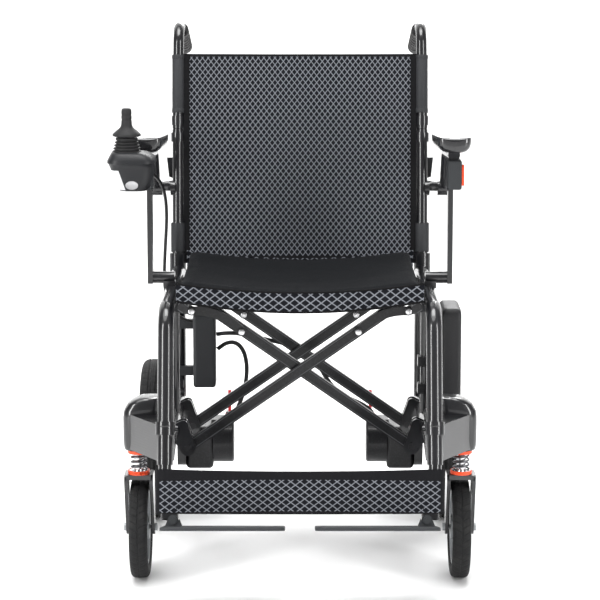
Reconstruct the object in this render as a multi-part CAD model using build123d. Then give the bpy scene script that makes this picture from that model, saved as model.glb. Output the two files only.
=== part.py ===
from build123d import *
from math import cos, hypot, radians, sin, sqrt, tan
import os

# Power wheelchair with a folding cross frame. Millimetres, +X to the chair's left hand
# side seen from the front, -Y to the front, +Z up. Every place is first worked out from
# the middle plane and the floor, and the whole chair is then moved to its own origin.

# frame
run = 0.05                 # radial clearance of a pin or shaft
gap = 0.5                  # clearance between separate pieces

frame_x = 227.0            # middle plane to each side frame
frame_tube = 27.0
tube_wall = 2.0
rail_z = 487.0             # top rail
low_rail_z = 245.0
low_rail_tube = 25.0
rear_y = 430.0             # rear posts at seat height
leg_slope = 15.5           # front leg, degrees from vertical
leg_top_y = 0.0
leg_bend = 45.0
leg_low_z = 236.0
clamp_z = 295.0            # middle of the collar at the leg's end
brace_y = 262.0
brace_tube = 18.0

# cross bars
pivot_half = frame_x - 28         # middle plane to each lower pivot and seat rail
pivot_z = 213.0
seat_rail_z = 490.0
seat_rail_tube = 18.0
cross_y = (170.0, 347.0)   # middle of each pair of cross bars
bar_deep = 10.0
bar_tall = 20.0
bar_gap = 1.0

# seat, back and straps
seat_front = 5.0
seat_rear = 398.0
seat_half = frame_x - frame_tube / 2 - gap
seat_top = 520.0
seat_thick = 36.0
cane_x = frame_x + 1.5
cane_tube = 20.0
socket_r = cane_tube / 2 + 5.5
recline = 8.0
fold_up = 267.0            # half-way hinge of the back, along the cane
cane_arch = 425.0          # start of the handle's bend, along the cane
handle_bend = 35.0
handle_droop = 104.0
handle_reach = 105.0
sling_thick = 4.0
sling_top = 407.0
sling_low = 24.0

# wheels
caster_x = frame_x + 52
caster_y = 45.0
caster_trail = 35.0
caster_wheel = 178.0
caster_wide = 32.0
fork_arm = 6.0
stem_r = 8.0
housing_low = 237.0
housing_high = 317.0
suspension = 15.0
wheel_r = 152.5
wheel_wide = 46.0
wheel_out = frame_x + 75
axle_y = 497.0
axle_r = 7.5

# armrests
arm_x = frame_x + frame_tube / 2 + 30.5
arm_tube = 21.0
arm_pivot_z = 642.0
pad_in = cane_x + 13
pad_wide = 58.2
pad_front = 160.0
pad_long = 255.0
pad_thick = 24.0
pad_front_z = 768.0
pad_tilt = 4.0
peg_y = 200.0
peg_z = 513.0
latch_low = 671.0
latch_high = 725.0

# leg ends
foot_axis = (frame_x - 15, 147.0)  # flip axis, from the middle plane and the floor
plate_inner = 25.0
plate_front = 115.0
plate_back = 42.0
plate_thick = 6.0
foot_tilt = 14.0
strap_z = 201.0
strap_tall = 54.0

# drive, battery and control boxes
motor_box = (frame_x - 62, frame_x - 10)
motor_can = (frame_x - 101, frame_x - 62)
motor_r = 40.0
motor_z = (104.0, 186.0)
control_x = (28 - frame_x, 70 - frame_x)
control_y = (374.0, 427.0)
control_z = (276.0, 415.0)
battery_x = (frame_x + 27, frame_x + 63)
battery_y = (axle_y - wheel_r - 126.5, axle_y - wheel_r - 14.5)
battery_z = (215.0, 446.0)
hook_y = (battery_y[0] + 26, battery_y[1] - 26)

# joystick
stick = (-26 - arm_x, 98.0, 741.0)
box_x = (-59 - arm_x, 23 - arm_x)
box_y = (62.0, 150.0)
box_z = (686.0, 722.0)
cover_z = 737.0            # top of the cover at the stick
box_slope = 8.0            # rise of the cover towards the back, degrees
shell = 3.0
yoke_down = 15.0           # tilt axes below the stick's neck
rocker_down = 3.5          # rocker's pin below the cover's surface
rocker_pin_r = 1.5
cane_collar_r = 11.5       # collar on the cane over its hinge


slope = tan(radians(leg_slope))
arm_pivot_y = rear_y + (arm_pivot_z - rail_z) * tan(radians(recline))
nodes = {}


def leg_y(z):
    """Place of the sloped front leg at height z."""
    return leg_top_y - (rail_z - z) * slope


def rod(points, diameter, bend=None):
    """Round bar along a route of straight runs joined by arcs."""
    path = Line(*points) if len(points) == 2 else FilletPolyline(*points, radius=bend)
    return sweep(Plane(origin=path @ 0, z_dir=path % 0) * Circle(diameter / 2), path=path)


def along_x(radius, x0, x1, y, z):
    return Pos((x0 + x1) / 2, y, z) * Rot(0, 90, 0) * Cylinder(radius, abs(x1 - x0))


def along_y(radius, x, y0, y1, z):
    return Pos(x, (y0 + y1) / 2, z) * Rot(90, 0, 0) * Cylinder(radius, abs(y1 - y0))


def along_z(radius, x, y, z0, z1):
    return Pos(x, y, (z0 + z1) / 2) * Cylinder(radius, abs(z1 - z0))


def block(x, y, z, corner=0.0):
    """Box between pairs of limits, with its edges rounded."""
    size = [abs(pair[1] - pair[0]) for pair in (x, y, z)]
    shape = Pos(sum(x) / 2, sum(y) / 2, sum(z) / 2) * Box(*size)
    return fillet(shape.edges(), corner) if corner else shape


def plate_y(sketch, y0, y1):
    """Plate drawn in X and Z, from y0 back to y1."""
    return extrude(Plane((0, y1, 0), x_dir=(1, 0, 0), z_dir=(0, -1, 0)) * sketch, amount=y1 - y0)


def plate_x(sketch, x0, x1):
    """Plate drawn in Y and Z, from x0 out to x1."""
    return extrude(Plane((x0, 0, 0), x_dir=(0, 1, 0), z_dir=(1, 0, 0)) * sketch, amount=x1 - x0)


def hull(circles):
    """Outline wrapped round circles given as (a, b, radius)."""
    rings = [Pos(a, b) * Circle(r) for a, b, r in circles]
    return make_hull([edge for ring in rings for edge in ring.edges()])


def other_side(shape):
    return mirror(shape, about=Plane.YZ)


def keep_pair(name, shape):
    """The right hand piece and its mirror image are two nodes."""
    nodes["right_" + name] = shape
    nodes["left_" + name] = other_side(shape)


def cane(shape):
    """Moves a piece drawn along its own Z to the reclined right back cane."""
    return Pos(cane_x, rear_y, rail_z) * Rot(-recline, 0, 0) * shape


def foot(shape):
    """Moves a piece drawn about the foot plate's hinge to the end of the right leg."""
    x, z = foot_axis
    return Pos(x, leg_y(z), z) * Rot(-foot_tilt, 0, 0) * shape


def pivot_ears(y):
    """Ears that hold a cross bar's lower pin under the right side frame."""
    outline = hull([(pivot_half, pivot_z, 14), (frame_x - 4, low_rail_z, 10), (pivot_half + 8, low_rail_z + 10, 8)])
    ears = [plate_y(outline, y - bar_deep / 2 - 7, y - bar_deep / 2 - 1)]
    ears.append(plate_y(outline, y + bar_deep / 2 + 1, y + bar_deep / 2 + 7))
    hole = along_y(6 + run, pivot_half, y - 30, y + 30, pivot_z)
    return [ear - hole for ear in ears]


def rail_saddle(y):
    """Open cradle on the top rail that the folding seat rail drops into."""
    holder = block((seat_x_in - 2, frame_x - 10), (y - 4, y + 4), (seat_rail_z - 16, seat_rail_z - 2))
    return holder - along_y(seat_rail_tube / 2 + gap, pivot_half, y - 9, y + 9, seat_rail_z)


seat_x_in = pivot_half
low_end_y = leg_y(low_rail_z)


def side_frame(bar_side):
    """Right hand frame; bar_side is -1 or +1, the cross bar of each pair that it carries."""
    loop = [(frame_x, rear_y, rail_z), (frame_x, leg_top_y, rail_z), (frame_x, leg_y(leg_low_z), leg_low_z)]
    low = [(frame_x, rear_y, low_rail_z), (frame_x, low_end_y, low_rail_z)]
    post = [(frame_x, rear_y, rail_z), (frame_x, rear_y, low_rail_z)]
    outer = rod(loop, frame_tube, leg_bend) + rod(low, low_rail_tube) + rod(post, low_rail_tube)
    bottom = (frame_x, leg_y(leg_low_z - 6), leg_low_z - 6)
    inner = rod([(frame_x, rear_y - 30, rail_z), loop[1], bottom], frame_tube - 2 * tube_wall, leg_bend)
    outer += along_z(brace_tube / 2, frame_x, brace_y, low_rail_z, rail_z)
    outer += Pos(cane_x, rear_y, rail_z) * Rot(-recline, 0, 0) * Pos(0, 0, 12) * Cylinder(socket_r, 46)
    collar = Plane((frame_x, leg_y(clamp_z), clamp_z), z_dir=(0, slope, 1)) * Cylinder(17, 22)
    screw = along_x(5, frame_x - 21, frame_x - 12, leg_y(clamp_z), clamp_z)
    axle_plate = plate_x(hull([(rear_y - 8, low_rail_z + 8, 14), (axle_y - 6, low_rail_z - 10, 14),
                               (axle_y, wheel_r, 30), (axle_y - 42, 130, 20)]), motor_box[1], frame_x + 6)
    outer += axle_plate + collar + screw
    for middle in cross_y:
        y = middle + bar_side * (bar_deep + bar_gap) / 2
        for ear in pivot_ears(y):
            outer += ear
        outer += rail_saddle(middle + 17)
        link_y = middle - bar_deep - 8
        lug = hull([(frame_x - 36, rail_z - 27, 8), (frame_x - 8, rail_z - 9, 6), (frame_x - 8, rail_z - 22, 6)])
        outer += plate_y(lug, link_y + 3, link_y + 7)
    arm_block = hull([(caster_x, caster_y, 24), (frame_x, leg_y(277) + 4, 15), (frame_x, 60, 12)])
    outer += extrude(Pos(0, 0, housing_low + 4) * arm_block, amount=housing_high - housing_low - 18)
    housing = along_z(23, caster_x, caster_y, housing_low, housing_high)
    outer += fillet(housing.edges().group_by(Axis.Z)[-1], 9)
    cradle = block((frame_x - 6, frame_x + 14), (peg_y - 15, peg_y + 15), (rail_z + 8, peg_z - 5))
    outer += cradle - along_x(arm_tube / 2 + gap, frame_x - 9, frame_x + 17, peg_y, peg_z)
    bore = along_z(stem_r + run, caster_x, caster_y, housing_low - 1, housing_high - 5)
    cane_hole = Pos(cane_x, rear_y, rail_z) * Rot(-recline, 0, 0) * Pos(0, 0, 20) * Cylinder(cane_tube / 2 + run, 40)
    axle_hole = along_x(axle_r + 4, motor_box[1] - 2, frame_x + 9, axle_y, wheel_r)
    return outer - inner - bore - cane_hole - axle_hole


def leg_tube():
    size = frame_tube - 2 * tube_wall - 2 * 0.25
    top, low = clamp_z + 35, foot_axis[1] + 14
    points = [(frame_x, leg_y(top), top), (frame_x, leg_y(low), low)]
    body = rod(points, size)
    x, z = foot_axis
    knuckle = along_y(9, 0, -14, 14, 0)
    body += foot(block((-8.5, 21), (-14, 14), (0, 24), 3) + knuckle)
    hollow = rod([points[0], (frame_x, leg_y(z + 40), z + 40)], size - 3.6)
    return body - hollow - foot(along_y(4 + run, 0, -20, 20, 0))


def footplate():
    x = foot_axis[0]
    plate = block((plate_inner - x, 18), (-plate_front, plate_back), (-16, -16 + plate_thick))
    plate = fillet(plate.edges().filter_by(Axis.Z), 16)
    plate = fillet(plate.edges().group_by(Axis.Z)[-1], 2)
    ear = hull([(0, 0, 9), (-12, -14, 3), (12, -14, 3)])
    for y in (-19.5, 14.5):
        plate += plate_y(ear, y, y + 5)
    plate += along_y(4, 0, -19.5, 19.5, 0) + along_y(6.5, 0, -24, -19.5, 0)
    return foot(plate)


def calf_strap():
    """Sling wrapped round both lower leg tubes, with its tabs behind."""
    tube_r = frame_tube / 2 - tube_wall
    front = Pos(0, -tube_r - 2) * Rectangle(2 * frame_x, 3)
    wraps = Sketch()
    for side in (-1, 1):
        ring = Pos(side * frame_x, 0) * (Circle(tube_r + 3.5) - Circle(tube_r + 0.5))
        half = Pos(side * (frame_x + 20), 0) * Rectangle(40, 60)
        wraps += ring & half
        wraps += Pos(side * (frame_x - 50), tube_r + 2) * Rectangle(100, 3)
    strap = extrude(front + wraps, amount=strap_tall / 2, both=True)
    return Pos(0, leg_y(strap_z), strap_z) * Rot(-leg_slope, 0, 0) * strap


def cross_bars(sign, side_name):
    """Front and rear bars from one lower pivot up to the opposite seat rail."""
    foot_x, top_x = -sign * pivot_half, sign * pivot_half
    length = hypot(2 * pivot_half, seat_rail_z - pivot_z)
    angle = 90 - sign * (90 - degrees_of(2 * pivot_half, seat_rail_z - pivot_z))
    shape = along_y(seat_rail_tube / 2, top_x, seat_front + 6, seat_rear - 6, seat_rail_z)
    centre_z = (pivot_z + seat_rail_z) / 2
    for middle in cross_y:
        y = middle - sign * (bar_deep + bar_gap) / 2
        outline = Pos(0, centre_z) * Rot(0, 0, angle) * Rectangle(length - 12, bar_tall)
        shape += plate_y(outline, y - bar_deep / 2, y + bar_deep / 2)
        shape += along_y(13, foot_x, y - bar_deep / 2, y + bar_deep / 2, pivot_z)
        shape += along_y(6, foot_x, y - bar_deep / 2 - 7, y + bar_deep / 2 + 7, pivot_z)
        if sign < 0:
            shape -= along_y(5 + run, 0, y - 10, y + 10, centre_z)
        else:
            shape += along_y(5, 0, middle - bar_deep, middle + bar_deep + 3, centre_z)
            shape += along_y(9, 0, middle + bar_deep + bar_gap, middle + bar_deep + 5, centre_z)
        pin = bar_bolt(sign)
        shape -= along_y(4 + run, pin[0], y - 20, y + 20, pin[1])
    return shape


def degrees_of(run_x, rise):
    return Vector(run_x, rise).get_angle(Vector(1, 0))


def bar_bolt(sign):
    """Where a fold link is bolted to the bar that rises to this side."""
    share = 117 / hypot(2 * pivot_half, seat_rail_z - pivot_z)
    return sign * (pivot_half - 2 * pivot_half * share), seat_rail_z - (seat_rail_z - pivot_z) * share


def links(bar_near):
    """Curved links at the right rail; bar_near is their bar's front face from the pair's middle."""
    x, z = bar_bolt(1)
    far = (frame_x - 36, rail_z - 27)
    middle = ((x + far[0]) / 2 + 6, (z + far[1]) / 2 + 14)
    strip = SlotArc(ThreePointArc((x, z), middle, far), 16)
    pieces = []
    for place in cross_y:
        y = place - bar_deep - 8
        piece = plate_y(strip, y, y + 2.5)
        piece += along_y(4, x, y, place + bar_near + bar_deep, z)
        piece += along_y(6.5, x, y - 4, y, z) + along_y(6.5, far[0], y - 4, y, far[1])
        pieces.append(piece)
    return pieces


def seat_cushion():
    cushion = block((-seat_half, seat_half), (seat_front, seat_rear), (seat_top - seat_thick, seat_top), 9)
    for side in (-1, 1):
        cushion -= along_y(seat_rail_tube / 2 + gap, side * pivot_half, seat_front - 9, seat_rear + 9, seat_rail_z)
        for middle in cross_y:
            x = sorted((side * 140, side * (seat_half + 9)))
            cushion -= block(x, (middle - 20, middle + 25), (seat_top - seat_thick - 9, seat_rail_z + 7))
    return cushion


def back_post():
    tube = Pos(0, 0, (1 + fold_up - 0.5) / 2) * Cylinder(cane_tube / 2, fold_up - 1.5)
    body = tube + Pos(0, 0, 64) * Cylinder(12.5, 56) + Pos(0, 0, fold_up - 15.5) * Cylinder(12.5, 17)
    knuckle = plate_x(hull([(17, fold_up, 6), (9, fold_up - 10, 1), (9, fold_up - 22, 1)]), -4, 4)
    wedge = plate_y(Polygon((0, 214), (21, 214), (17, 178), (0, 172), align=None), -9, 9)
    body += knuckle + wedge
    body -= Cylinder(cane_tube / 2 - 1.8, 2 * fold_up + 9)
    body -= along_x(3 + run, -9, 9, 17, fold_up)
    shape = cane(body)
    boss = along_x(14, cane_x + 5, cane_x + 13.5, arm_pivot_y, arm_pivot_z)
    peg = along_x(6, cane_x + 13.5, arm_x + 4, arm_pivot_y, arm_pivot_z)
    return shape + (boss - cane(Cylinder(cane_tube / 2 - 1.8, 2 * fold_up + 9))) + peg


def back_cane():
    tangent = handle_bend * tan(radians(handle_droop / 2))
    corner = cane_arch + tangent
    reach = tangent + handle_reach
    tip = (-6.0, reach * sin(radians(handle_droop)), corner + reach * cos(radians(handle_droop)))
    path = [(0, 0, fold_up + 0.5), (-2.0, 0, corner), tip]
    shape = rod(path, cane_tube, handle_bend)
    shape -= rod([path[0], (-1.6, 0, cane_arch - 20)], cane_tube - 3.6)
    shape += (Pos(0, 0, fold_up + 15.5) * Cylinder(cane_collar_r, 17)) - rod([path[0], (-1.6, 0, cane_arch - 20)], cane_tube - 3.6)
    for x in (-9.0, 4.6):
        shape += plate_x(hull([(17, fold_up, 6), (9, fold_up + 10, 1), (9, fold_up + 22, 1)]), x, x + 4.4) \
            - rod([path[0], (-1.6, 0, cane_arch - 20)], cane_tube - 3.6)
    shape += along_x(3, -9, 9, 17, fold_up)
    return cane(shape), path


def push_grip(path):
    """Ribbed rubber grip over the end of the handle."""
    start, end = Vector(*path[1]), Vector(*path[2])
    way = (end - start).normalized()
    head = end - way * (handle_reach - 12)
    grip = Cylinder(14.5, handle_reach - 4, align=(Align.CENTER, Align.CENTER, Align.MIN))
    grip = fillet(grip.edges().group_by(Axis.Z)[-1], 4)
    for i in range(6):
        ring = Cylinder(16, 3) - Cylinder(13.4, 4)
        grip -= Pos(0, 0, 14 + 13 * i) * ring
    grip -= Cylinder(cane_tube / 2 + run, 2 * (handle_reach - 12))
    return cane(Plane(origin=head, z_dir=way) * grip)


def sling(low, high):
    wide = 2 * (cane_x - socket_r - gap)
    return Pos(0, rear_y, rail_z) * Rot(-recline, 0, 0) * block((-wide / 2, wide / 2), (-2, -2 + sling_thick), (low, high))


def pad_frame(shape):
    """Moves a piece drawn with the pad's top front edge at the origin to the right armrest."""
    return Pos(pad_in, pad_front, pad_front_z) * Rot(-pad_tilt, 0, 0) * shape


def armrest_pad():
    pad = block((0, pad_wide), (0, pad_long), (-pad_thick, 0))
    pad = fillet(pad.edges().filter_by(Axis.Y).group_by(Axis.Z)[0], 11)
    pad = fillet(pad.edges().filter_by(Axis.Z), 12)
    return pad_frame(fillet(pad.edges().group_by(Axis.Z)[-1], 3))


def pad_point(back, down):
    """Point under the pad, this far back from its front and below its top."""
    tilt = radians(pad_tilt)
    return (arm_x, pad_front + back * cos(tilt) - down * sin(tilt), pad_front_z - back * sin(tilt) - down * cos(tilt))


def armrest_frame():
    under = pad_thick + arm_tube / 2
    rear, front = pad_point(pad_long - 22, under), pad_point(38, under)
    route = [(arm_x, arm_pivot_y, arm_pivot_z), rear, front]
    shape = rod(route, arm_tube, 22)
    shape += along_x(14, arm_x - 14, arm_x + 11, arm_pivot_y, arm_pivot_z)
    shape -= along_x(6 + run, arm_x - 20, arm_x + 8, arm_pivot_y, arm_pivot_z)
    post_x = arm_x - 6
    post = block((post_x - 4.5, post_x + 4.5), (peg_y - 13, peg_y + 13), (peg_z - 10, latch_low + 20))
    shape += post + along_x(arm_tube / 2, frame_x - 5, post_x + 4.5, peg_y, peg_z)
    return shape


def armrest_latch():
    """Latch housing under the pad's front, round the post and the tube."""
    x = (arm_x - 12, arm_x + 13)
    house = block(x, (peg_y - 22, peg_y + 22), (latch_low, latch_high - 2), 4)
    house -= block((arm_x - 10.7, arm_x - 1.3), (peg_y - 13.2, peg_y + 13.2), (latch_low - 5, latch_low + 20.2))
    under = pad_thick + arm_tube / 2
    house -= rod([pad_point(36, under), pad_point(150, under)], arm_tube + 0.4)
    house -= pad_frame(block((-9, pad_wide + 9), (-60, pad_long), (-pad_thick - 0.2, 20)))
    return house - along_x(2.5 + run, arm_x + 8, arm_x + 20, peg_y - 8, latch_low + 38)


def release_lever():
    axis = (peg_y - 8, latch_low + 38)
    lever = plate_x(hull([(axis[0], axis[1], 5.5), (axis[0] - 4, axis[1] - 27, 4.5)]), arm_x + 13.3, arm_x + 17.3)
    return lever + along_x(2.5, arm_x + 8.5, arm_x + 17.3, *axis)


def caster_stem():
    """Sliding stem with the lower spring seat; the fork swivels on its foot."""
    seat_z = 194.0
    stem = along_z(stem_r, caster_x, caster_y, seat_z, housing_high - 5 - suspension - 5)
    return stem + along_z(18.5, caster_x, caster_y, seat_z, seat_z + 6)


def caster_spring():
    pitch, turns, wire = 7.6, 3.2, 3.4
    path = Helix(pitch=pitch, height=pitch * turns, radius=13)
    coil = sweep(Plane(origin=path @ 0, z_dir=path % 0) * Circle(wire / 2), path=path, is_frenet=True)
    return Pos(caster_x, caster_y, 202.6) * coil


def caster_fork():
    axle_z = caster_wheel / 2
    wheel_y = caster_y + caster_trail
    inner = caster_wide / 2 + 3
    crown_low = caster_wheel + 7
    side = hull([(wheel_y, axle_z, 13), (wheel_y - 18, crown_low - 6, 17), (caster_y, crown_low - 3, 14)])
    trim = block((0, 400), (-200, 300), (crown_low + 8 - 0.0, 300))
    arm = plate_x(side, caster_x + inner, caster_x + inner + fork_arm)
    arms = arm + plate_x(side, caster_x - inner - fork_arm, caster_x - inner)
    crown = block((caster_x - inner - 2, caster_x + inner + 2), (caster_y - 14, wheel_y - 6), (crown_low, crown_low + 8))
    fork = arms - trim + crown
    fork -= along_x(4 + run, caster_x - 40, caster_x + 40, wheel_y, axle_z)
    return fork


def caster_wheel_parts():
    axle_z, wheel_y = caster_wheel / 2, caster_y + caster_trail
    rim_r = 66.0
    profile = Pos((rim_r + caster_wheel / 2) / 2, 0) * RectangleRounded(caster_wheel / 2 - rim_r, caster_wide, 9)
    tyre = revolve(Plane.XZ * profile, Axis.Z)
    rim = Cylinder(rim_r - run, 26) - Cylinder(rim_r - 7, 30)
    rim += Cylinder(rim_r - 5, 8) + Cylinder(21, 30)
    rim -= Pos(0, 0, 9) * (Cylinder(58, 10) - Cylinder(24, 12))
    for i in range(5):
        rim -= Rot(0, 0, 72 * i) * Pos(41, 0, 0) * Cylinder(9, 40)
    axle = Cylinder(4, 2 * (caster_wide / 2 + 3 + fork_arm) + 2)
    for side in (-1, 1):
        axle += Pos(0, 0, side * (caster_wide / 2 + 11.2)) * Cylinder(7, 4)
    turn = Pos(caster_x, wheel_y, axle_z) * Rot(0, 90, 0)
    return turn * tyre, turn * (rim + axle)


def rear_wheel_parts():
    rim_r = 112.0
    section = Pos((rim_r + wheel_r) / 2, 0) * RectangleRounded(wheel_r - rim_r, wheel_wide, 15)
    tyre = revolve(Plane.XZ * section, Axis.Z)
    for side in (-1, 1):
        tyre -= Pos(0, 0, side * 7) * (Cylinder(wheel_r + 9, 3) - Cylinder(wheel_r - 3, 4))
    hub = Cylinder(rim_r - run, 38) - Cylinder(rim_r - 8, 40)
    hub += Cylinder(rim_r - 6, 10) + Cylinder(34, 40)
    for i in range(6):
        hub -= Rot(0, 0, 60 * i) * Pos(68, 0, 0) * Cylinder(17, 40)
    middle_x = wheel_out - wheel_wide / 2
    turn = Pos(middle_x, axle_y, wheel_r) * Rot(0, 90, 0)
    axle = along_x(axle_r, motor_box[1] - 14, middle_x, axle_y, wheel_r)
    return turn * tyre, turn * hub + axle


def drive_motor():
    """Gearbox with the motor can inboard of it."""
    case = block(motor_box, (axle_y - 52, axle_y + 28), motor_z, 8)
    can = along_x(motor_r, motor_can[0], motor_can[1] + 1, axle_y - 12, 150)
    can = fillet(can.edges().group_by(Axis.X)[0], 5)
    shape = case + can + block((motor_can[0] + 1, motor_can[1] + 4), (axle_y - 34, axle_y + 10), (180, 196))
    shape -= along_x(axle_r + run, motor_box[1] - 16, motor_box[1] + 5, axle_y, wheel_r)
    for x in (131.2, 141.2):
        shape += block((x - 3, x), (axle_y - 20, axle_y - 4), (195, 209)) - along_x(3 + run, x - 9, x + 9, axle_y - 12, 203)
    return shape


def clutch_lever():
    arm = plate_x(hull([(axle_y - 12, 203, 5), (axle_y - 12, 245, 5)]), 131.6, 137.4)
    return arm + along_x(3, 126, 143, axle_y - 12, 203)


def controller_box():
    shape = block(control_x, control_y, control_z, 6)
    for z in (control_z[0] + 25, control_z[1] - 25):
        clip = block((-frame_x, control_x[0] + 2), (rear_y - 16, rear_y - 4), (z - 9, z + 9))
        shape += clip - along_z(low_rail_tube / 2 + run, -frame_x, rear_y, z - 20, z + 20)
    return shape


def battery_bracket():
    """Clamp on the brace with a hook plate and a shelf for the battery."""
    y = (battery_y[0] + 8, battery_y[1] - 8)
    plate_in = frame_x + frame_tube / 2 + 1.5
    shape = block((plate_in, plate_in + 4), y, (battery_z[0] - 5, battery_z[1] - 50))
    shape += block((plate_in, battery_x[1] - 6), y, (battery_z[0] - 5, battery_z[0] - gap))
    for z in (battery_z[0] + 85, battery_z[0] + 135):
        clip = block((frame_x - 14, plate_in + 2), (brace_y - 12, brace_y + 12), (z - 9, z + 9))
        shape += clip - along_z(brace_tube / 2 + run, frame_x, brace_y, z - 20, z + 20)
    for y in hook_y:
        shape += block((plate_in + 2, battery_x[0] + 5), (y - 5, y + 5), (battery_z[0] + 30, battery_z[1] - 60))
    return shape


def battery_case():
    """Battery with open grooves for the bracket's hooks and a handle on top."""
    case = block(battery_x, battery_y, battery_z, 8)
    for y in hook_y:
        case -= block((battery_x[0] - 1, battery_x[0] + 6), (y - 6, y + 6), (battery_z[0] - 5, battery_z[1] - 50))
    x = sum(battery_x) / 2
    grip = block((x - 6, x + 6), (hook_y[0] - 4, hook_y[1] + 4), (battery_z[1] - 2, battery_z[1] + 18))
    return case + (grip - block((x - 12, x + 12), (hook_y[0] + 7, hook_y[1] - 7), (battery_z[1], battery_z[1] + 10)))


def joystick_parts():
    x, y, z = stick
    outer = block(box_x, box_y, (box_z[0], box_z[1] + 40))
    outer = fillet(outer.edges().filter_by(Axis.Z), 12)
    outer = fillet(outer.edges().group_by(Axis.Z)[0], 6)
    inner = block((box_x[0] + shell, box_x[1] - shell), (box_y[0] + shell, box_y[1] - shell),
                  (box_z[0] + shell, box_z[1] + 60))
    lower = outer & block((-400, -200), (-200, 200), (0, box_z[1]))
    house = lower - inner
    house += block((-arm_x - 6, -arm_x + 6), (box_y[1] - 1, peg_y - 22), (box_z[0] + 10, box_z[0] + 32))
    slope_cut = Pos(0, stick[1], cover_z) * Rot(box_slope, 0, 0) * block((-400, -200), (-200, 200), (0, 90))
    upper = (outer & block((-400, -200), (-200, 200), (box_z[1] + 0.2, 900))) - slope_cut
    cover = upper - (inner - (Pos(0, 0, -shell) * slope_cut))
    hole = along_z(18, x, y, box_z[1] - 20, 800)
    cover -= hole
    for side in (-1, 1):
        lug = block((x + side * 19, x + side * 23), (y - 4, y + 4), (z - 20, z - 4))
        cover += lug
    cover -= along_x(2 + run, x - 26, x + 26, y, z - yoke_down)
    return house, cover


def joystick_mechanism():
    x, y, z = stick
    mid = z - yoke_down
    yoke = along_z(12, x, y, mid - 3, mid + 3) - along_z(9, x, y, mid - 5, mid + 5)
    yoke += along_x(2, x - 23, x - 10, y, mid) + along_x(2, x + 10, x + 23, y, mid)
    yoke -= along_y(1.5 + run, x, y - 20, y + 20, mid)
    knob = along_z(3.5, x, y, mid - 12, z + 40) + along_y(1.5, x, y - 11.5, y + 11.5, mid)
    skirt = Pos(x, y, z + 33) * Cone(24.5, 9, 10)
    grip = along_z(8.5, x, y, z + 36, z + 79)
    knob += skirt + fillet(grip.edges().group_by(Axis.Z)[-1], 5)
    boot = Pos(x, y, z + 13) * Cone(17, 13, 22) - Pos(x, y, z + 13) * Cone(15.5, 11.5, 22.02)
    return yoke, knob, boot


def button_row():
    """Middle of the row of buttons, on the cover's slope."""
    y = box_y[1] - 16
    return stick[0], y, cover_z + (y - stick[1]) * tan(radians(box_slope))


def buttons(cover):
    """Two push buttons and a rocker set in the cover's rear, by the hand."""
    x, y, top = button_row()
    pieces = {"power_button": Pos(x - 20, y, 0), "horn_button": Pos(x, y, 0), "speed_rocker": Pos(x + 22, y, 0)}
    for name, place in pieces.items():
        half = 7.0 if name == "speed_rocker" else 4.5
        cap = place * block((-half, half), (-4.5, 4.5), (top - 7, top + 3), 0.8)
        room = 0.3
        if name == "speed_rocker":
            axle = place * Pos(0, 0, top - rocker_down) * Rot(90, 0, 0)
            cap += axle * Cylinder(rocker_pin_r, 14)
            cover -= axle * Cylinder(rocker_pin_r + run, 14.6)
            room = 0.6
        well = place * block((-half - room, half + room), (-4.8, 4.8), (top - 20, top + 20))
        cover = cover - well
        nodes[name] = cap
    return cover


def cable(points, diameter, limit=5.0):
    """Cord along hand-placed points; each arc is as large as its two runs allow."""
    spots = [Vector(*p) for p in points]
    runs = [(b - a).length for a, b in zip(spots, spots[1:])]
    bends = []
    for i in range(1, len(spots) - 1):
        turn = (spots[i] - spots[i - 1]).get_angle(spots[i + 1] - spots[i])
        bends.append(0.45 * min(runs[i - 1], runs[i]) / tan(radians(turn / 2)))
    print("cable arcs", [round(b) for b in bends], "smallest allowed", limit * diameter)
    shape = rod(points, diameter, bends)
    path = FilletPolyline(*points, radius=bends)
    print("  length", round(path.length), "volume ratio",
          round(shape.volume / (path.length * 3.14159 * diameter ** 2 / 4), 3))
    return shape


joystick_cord = [(-297, 151, 701), (-299, 172, 699), (-298, 196, 698), (-296, 226, 700), (-293, 260, 699),
                 (-288, 296, 695), (-278, 328, 688), (-264, 356, 676), (-253, 380, 656), (-248, 396, 628),
                 (-247, 403, 594), (-249, 402, 556), (-251, 395, 520), (-252, 388, 484), (-250, 385, 452),
                 (-241, 387, 426), (-226, 391, 408), (-208, 394, 400), (-200.5, 395, 399)]
left_cord = [(-154, 400, 345), (-142, 401, 356), (-122, 403, 359), (-107, 406, 345), (-100, 410, 320),
             (-100, 415, 292), (-105, 421, 262), (-115, 429, 232), (-128, 437, 206), (-141, 444, 186)]
right_cord = [(-155, 392, 375), (-134, 388, 379), (-104, 386, 376), (-70, 385, 368), (-34, 385, 360),
              (0, 385, 350), (28, 387, 330), (44, 391, 300), (62, 397, 272), (88, 405, 252),
              (116, 415, 238), (138, 428, 220), (144, 440, 194)]


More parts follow.
